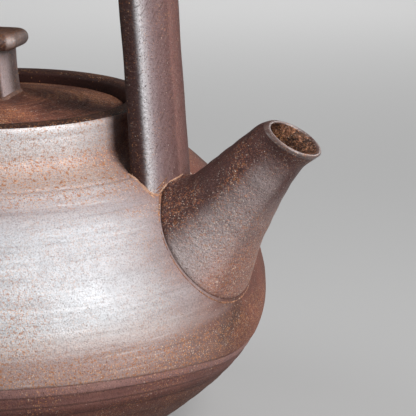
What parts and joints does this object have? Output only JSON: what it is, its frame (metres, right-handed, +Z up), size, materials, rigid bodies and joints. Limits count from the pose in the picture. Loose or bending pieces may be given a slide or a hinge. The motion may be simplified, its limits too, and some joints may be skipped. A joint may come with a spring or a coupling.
{
  "type": "teapot",
  "caption": "Squat unglazed stoneware teapot with a fixed overhead strap handle, a short tapered spout and a lift-off lid sunk in the neck.",
  "frame": {"origin": "middle of the foot, on the surface that the teapot stands on", "axes": "+Z up along the thrown body's axis, +X towards the spout, with the handle in the XZ plane"},
  "size_m": [0.1807, 0.161, 0.2029],
  "materials": {
    "body_clay": "dry unglazed stoneware, speckled, with throwing lines",
    "spout_clay": "dry unglazed stoneware, speckled",
    "handle_clay": "dry unglazed stoneware, smoothed along the strap",
    "lid_clay": "dry unglazed stoneware with turning rings",
    "knob_clay": "dry unglazed stoneware, smoothed",
    "slip_seam": "rough orange slip"
  },
  "bodies": {
    "pot": {"body_shell": "body_clay", "spout": "spout_clay", "spout_lute": "slip_seam", "handle_strap": "handle_clay", "front_handle_lute": "slip_seam", "rear_handle_lute": "slip_seam"},
    "lid": {"lid_plate": "lid_clay", "lid_flange": "lid_clay", "knob_lute": "slip_seam", "knob_stem": "knob_clay", "knob_cap": "knob_clay"}
  },
  "joints": [
    {"name": "lid_lift", "type": "slide", "parent": "pot", "child": "lid", "axis": [0, 0, 1], "range_m": [0, 0.06]}
  ]
}
